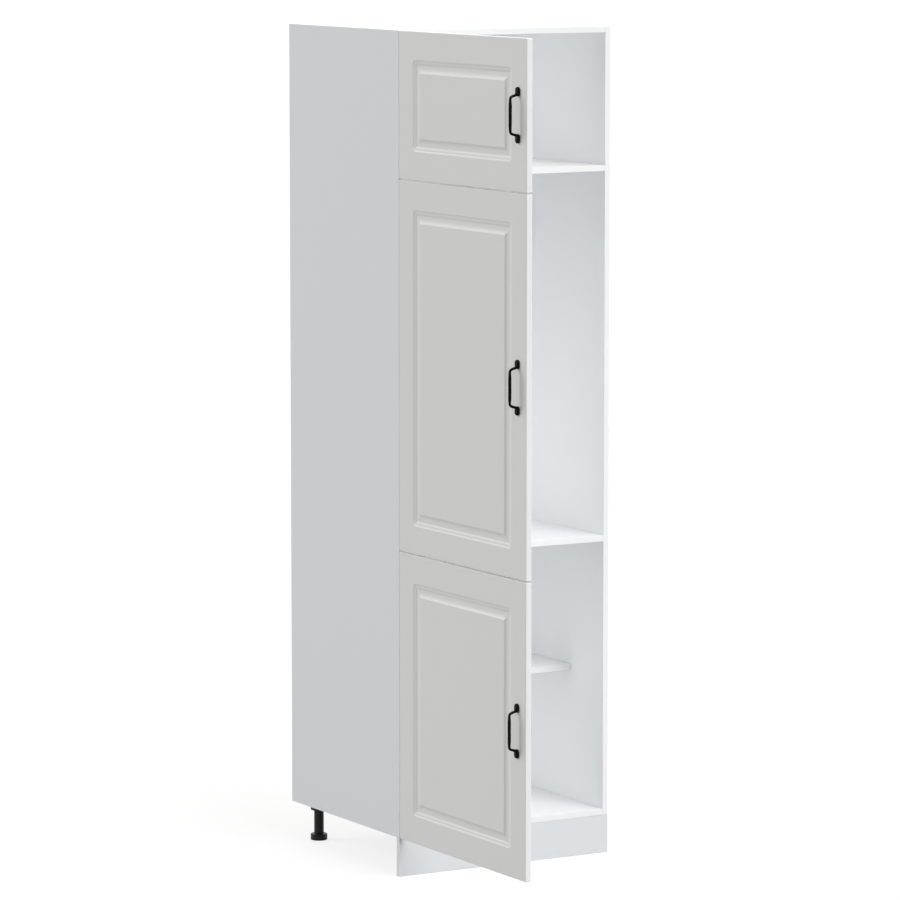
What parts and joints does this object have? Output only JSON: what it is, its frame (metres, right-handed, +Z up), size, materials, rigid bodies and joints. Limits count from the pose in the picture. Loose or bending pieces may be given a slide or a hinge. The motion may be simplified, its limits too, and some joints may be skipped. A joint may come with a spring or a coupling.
{
  "type": "tall kitchen cabinet",
  "caption": "Tall kitchen cabinet with three framed doors on concealed hinges, bow handles, fixed and loose shelves, a plinth and levelling feet; its doors stand open.",
  "frame": {"origin": "on the floor, under the middle of the bounding box with the doors open at a right angle", "axes": "+Z up; -Y is the front, where the compartments open; +X is the right side seen from the front, away from the hinges"},
  "size_m": [0.6272, 1.1548, 2.07],
  "materials": {
    "white_melamine": "satin",
    "white_foil": "satin",
    "white_hardboard": "matte",
    "white_plastic": "matte",
    "black_lacquer": "satin",
    "black_plastic": "matte",
    "nickel_steel": "satin"
  },
  "bodies": {
    "carcass": {"side_panel_left": "white_melamine", "side_panel_right": "white_melamine", "top_panel": "white_melamine", "upper_shelf": "white_melamine", "middle_shelf": "white_melamine", "bottom_panel": "white_melamine", "adjustable_shelf": "white_melamine", "shelf_pin_front_left": "nickel_steel", "shelf_pin_front_right": "nickel_steel", "shelf_pin_rear_left": "nickel_steel", "shelf_pin_rear_right": "nickel_steel", "back_panel_lower": "white_hardboard", "back_panel_middle": "white_hardboard", "back_panel_upper": "white_hardboard", "back_strip_lower": "white_plastic", "back_strip_upper": "white_plastic", "plinth": "white_foil", "plinth_clip_left": "black_plastic", "plinth_clip_right": "black_plastic", "leg_front_left": "black_plastic", "leg_front_right": "black_plastic", "leg_rear_left": "black_plastic", "leg_rear_right": "black_plastic", "hinge_arm_lower_bottom": "nickel_steel", "hinge_arm_lower_top": "nickel_steel", "hinge_arm_middle_bottom": "nickel_steel", "hinge_arm_middle_top": "nickel_steel", "hinge_arm_upper_bottom": "nickel_steel", "hinge_arm_upper_top": "nickel_steel", "hinge_plate_lower_bottom": "nickel_steel", "hinge_plate_lower_top": "nickel_steel", "hinge_plate_middle_bottom": "nickel_steel", "hinge_plate_middle_top": "nickel_steel", "hinge_plate_upper_bottom": "nickel_steel", "hinge_plate_upper_top": "nickel_steel"},
    "door_lower": {"door_lower": "white_foil", "handle_lower": "black_lacquer", "hinge_cup_lower_bottom": "nickel_steel", "hinge_cup_lower_top": "nickel_steel"},
    "door_middle": {"door_middle": "white_foil", "handle_middle": "black_lacquer", "hinge_cup_middle_bottom": "nickel_steel", "hinge_cup_middle_top": "nickel_steel"},
    "door_upper": {"door_upper": "white_foil", "handle_upper": "black_lacquer", "hinge_cup_upper_bottom": "nickel_steel", "hinge_cup_upper_top": "nickel_steel"},
    "foot_front_left": {"foot_front_left": "black_plastic"},
    "foot_front_right": {"foot_front_right": "black_plastic"},
    "foot_rear_left": {"foot_rear_left": "black_plastic"},
    "foot_rear_right": {"foot_rear_right": "black_plastic"}
  },
  "joints": [
    {"name": "door_lower_hinge", "type": "hinge", "parent": "carcass", "child": "door_lower", "pos_m": [-0.2783, 0.01345, 0.45125], "axis": [0, 0, 1], "range_deg": [-5, 90]},
    {"name": "door_middle_hinge", "type": "hinge", "parent": "carcass", "child": "door_middle", "pos_m": [-0.2783, 0.01345, 1.26], "axis": [0, 0, 1], "range_deg": [-5, 90]},
    {"name": "door_upper_hinge", "type": "hinge", "parent": "carcass", "child": "door_upper", "pos_m": [-0.2783, 0.01345, 1.892], "axis": [0, 0, 1], "range_deg": [-5, 90]},
    {"name": "foot_front_left_screw", "type": "slide", "parent": "carcass", "child": "foot_front_left", "axis": [0, 0, -1], "range_m": [0, 0.02]},
    {"name": "foot_front_right_screw", "type": "slide", "parent": "carcass", "child": "foot_front_right", "axis": [0, 0, -1], "range_m": [0, 0.02]},
    {"name": "foot_rear_left_screw", "type": "slide", "parent": "carcass", "child": "foot_rear_left", "axis": [0, 0, -1], "range_m": [0, 0.02]},
    {"name": "foot_rear_right_screw", "type": "slide", "parent": "carcass", "child": "foot_rear_right", "axis": [0, 0, -1], "range_m": [0, 0.02]}
  ]
}
